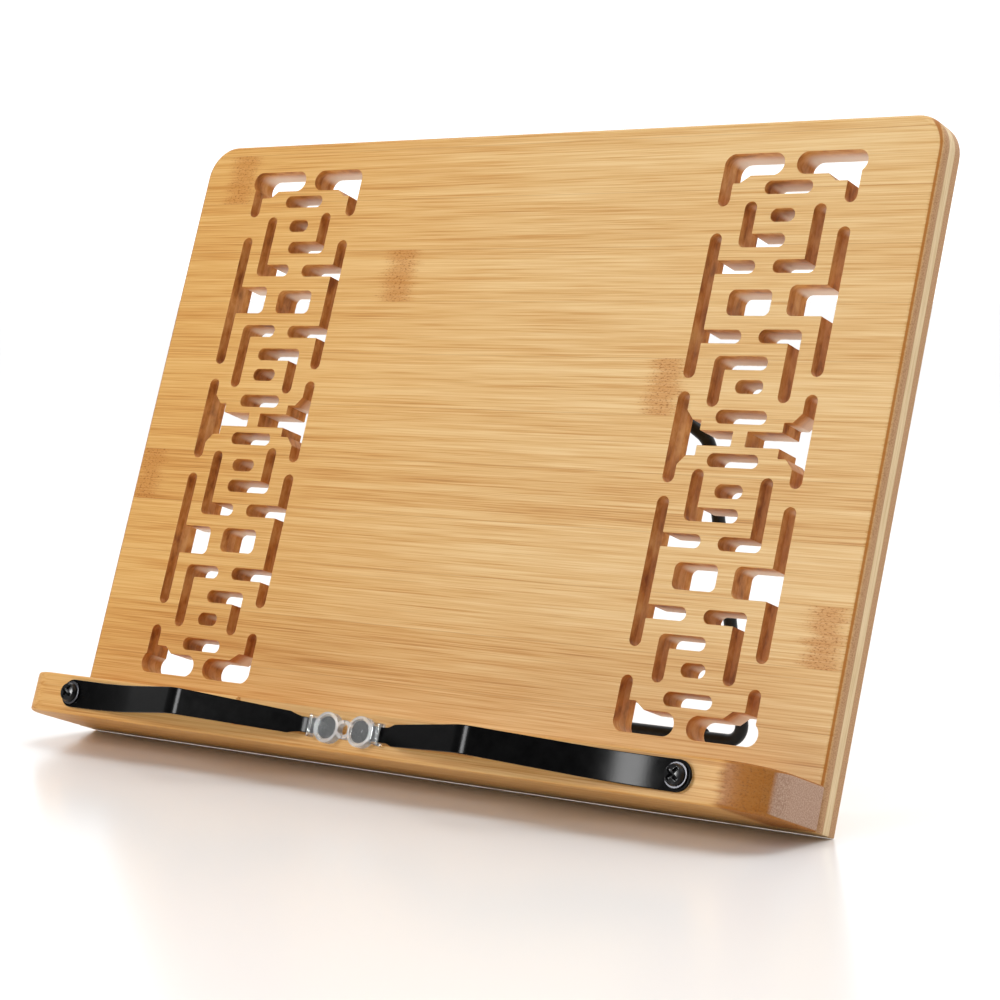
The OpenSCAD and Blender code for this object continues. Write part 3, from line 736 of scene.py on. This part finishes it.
CLIP_SCREW = dict(radius=3.6, height=2.4, slot_r=2.5, slot_w=0.55, depth=1.7)
BACK_SCREW = dict(radius=3.2, height=2.0, slot_r=1.9, slot_w=0.4, depth=1.2)
# The head's dome falls gently as far as CROWN of its radius, then steeply to its rim
CROWN, CROWN_DROP, CROWN_HEIGHT, RIM_SLOPE, RIM_HEIGHT = 0.88, 0.30, 0.773, 4.62, 0.18
HEAD_STEPS = 96


def screw_top(r, angle, radius, height, slot_r, slot_w, depth):
    """Height of the domed cross-head at r from its middle. The angle is from the cross's own arm."""
    share = r / radius
    dome = 1 - CROWN_DROP * share ** 2.2 if share < CROWN else CROWN_HEIGHT - RIM_SLOPE * (share - CROWN)
    near, far = sorted((abs(r * math.cos(angle)), abs(r * math.sin(angle))))
    cut = (max(0.0, min(1.0, (slot_w - near) / 0.25 + 0.5))
           * max(0.0, min(1.0, (slot_r - far) / 0.5 + 0.5)))
    return height * max(dome, RIM_HEIGHT) - cut * depth * max(0.25, 1 - far / slot_r * 0.55)


def screw_head(centre, outward, turn, screw):
    """Domed cross-head in the board's frame. outward is -1 towards the viewer, +1 behind."""
    cx, cy, cz = centre
    angles = np.linspace(0, 2 * math.pi, HEAD_STEPS, endpoint=False)
    radii = np.concatenate([np.linspace(0, 0.9, 26), np.linspace(0.92, 1.0, 7)])[1:] * screw["radius"]
    rings = [[(cx + r * math.cos(a), cy + outward * screw_top(r, a + turn, **screw), cz + r * math.sin(a))
              for a in angles] for r in radii]
    rings.append([(cx + radii[-1] * math.cos(a), cy, cz + radii[-1] * math.sin(a)) for a in angles])
    bm = bmesh.new()
    rows = [[bm.verts.new(p) for p in placed(ring)] for ring in rings]
    middle = bm.verts.new(placed([(cx, cy + outward * screw_top(0, turn, **screw), cz)])[0])
    for i in range(HEAD_STEPS):
        bm.faces.new((middle, rows[0][i], rows[0][(i + 1) % HEAD_STEPS]))
    for a, b in zip(rows, rows[1:]):
        for i in range(HEAD_STEPS):
            bm.faces.new((a[i], b[i], b[(i + 1) % HEAD_STEPS], a[(i + 1) % HEAD_STEPS]))
    bm.faces.new(rows[-1])
    return bm


def merged(meshes):
    whole = bmesh.new()
    for bm in meshes:
        mesh = bpy.data.meshes.new("part")
        bm.to_mesh(mesh)
        bm.free()
        whole.from_mesh(mesh)
        bpy.data.meshes.remove(mesh)
    return whole


def add_heads(name, heads, material, node):
    add_piece(name, merged(heads), "stand", material, 30, (node,))


def build_screws():
    clip_heads = [screw_head((side * PIVOT_X, -WASHER_FRONT, PIVOT_Z), -1, turn, CLIP_SCREW)
                  for side, turn in ((-1, 0.5), (1, 0.7))]
    add_heads("clip_screw_heads", clip_heads, BLACK_SCREW, "clip_screws")
    plate = BOARD_T + PLATE_T
    saddle_heads = [screw_head((side * SADDLE_X, plate, HINGE_UP + dz), 1, 0.4 + side + dz, BACK_SCREW)
                    for side in (-1, 1) for dz in (-SADDLE_SCREW_DZ, SADDLE_SCREW_DZ)]
    add_heads("saddle_screw_heads", saddle_heads, BRIGHT, "saddle_screws")
    # the prop's cross wire moves along the rack between these two heights
    low, high = HINGE_UP - 2 * PROP_L, HINGE_UP - 2 * PROP_L * math.cos(LEG_OPEN)
    rack_heads = [screw_head((0, plate, z), 1, 0.3 + z, BACK_SCREW) for z in (low, (low + high) / 2, high)]
    add_heads("rack_screw_heads", rack_heads, BRIGHT, "rack_screws")


# ---- Everything in its place ----

bpy.context.scene.view_settings.view_transform = "Standard"
add_camera()
add_world()
add_floor()
for light in LIGHTS:
    add_light(*light)

PANEL, BAR, DOWEL = board_material(), ledge_material(), dowel_material()
BLACK_SPRING = metal_material("black_spring_steel", (0.0015, 0.0015, 0.0016), 0.0, 0.16, specular=0.05)
BLACK_SCREW = metal_material("black_oxide", (0.004, 0.004, 0.0045), 0.0, 0.24, specular=0.22)
BLACK_STEEL = metal_material("black_powder_coat", (0.006, 0.006, 0.0065), 0.0, 0.34,
                             specular=0.2, bump=0.00004)
BRIGHT = metal_material("zinc_plate", (0.50, 0.51, 0.54), 1.0, 0.26)
DULL = metal_material("dull_plate", (0.055, 0.055, 0.06), 1.0, 0.33)
NYLON = plastic_material("natural_nylon", (0.78, 0.77, 0.72), 0.5)
RUBBER = plastic_material("black_rubber", (0.012, 0.012, 0.012), 0.75)
# the rim's plastic is made milkier as painted light for the thick rim and nose
CLEAR, CLEAR_LIT_RIM = clear_material("clear_soft_plastic", 0.94), clear_material("clear_plastic_painted_rim_light", 0.70)

soften("board_panel", "board", "stand", PANEL, 0.3)
soften("ledge_bar", "ledge", "stand", BAR, 0.35)
build_blade(-1)
build_blade(1)
build_screws()
build_cap(-1)
build_cap(1)
soften("clip_washer_pair", "clip_washers", "stand", DULL, 0.2)
soften("left_hinge_saddle", "left_saddle", "stand", BLACK_STEEL, 0.35)
soften("right_hinge_saddle", "right_saddle", "stand", BLACK_STEEL, 0.35)
soften("prop_rack", "rack_channel", "stand", BLACK_STEEL, 0.25)
soften("leg_feet", "leg_sleeves", "leg", RUBBER, 0.8, 3)

# The other nodes keep their CAD mesh
for node, material in {"ledge_screws": BLACK_SCREW, "ledge_dowels": DOWEL, "clip_spacers": NYLON,
                       "saddle_bushes": NYLON, "leg_wire": BLACK_STEEL, "prop_lugs": BLACK_STEEL,
                       "prop_wire": BLACK_STEEL}.items():
    for place in NODES[node].material_slots:
        place.material = material
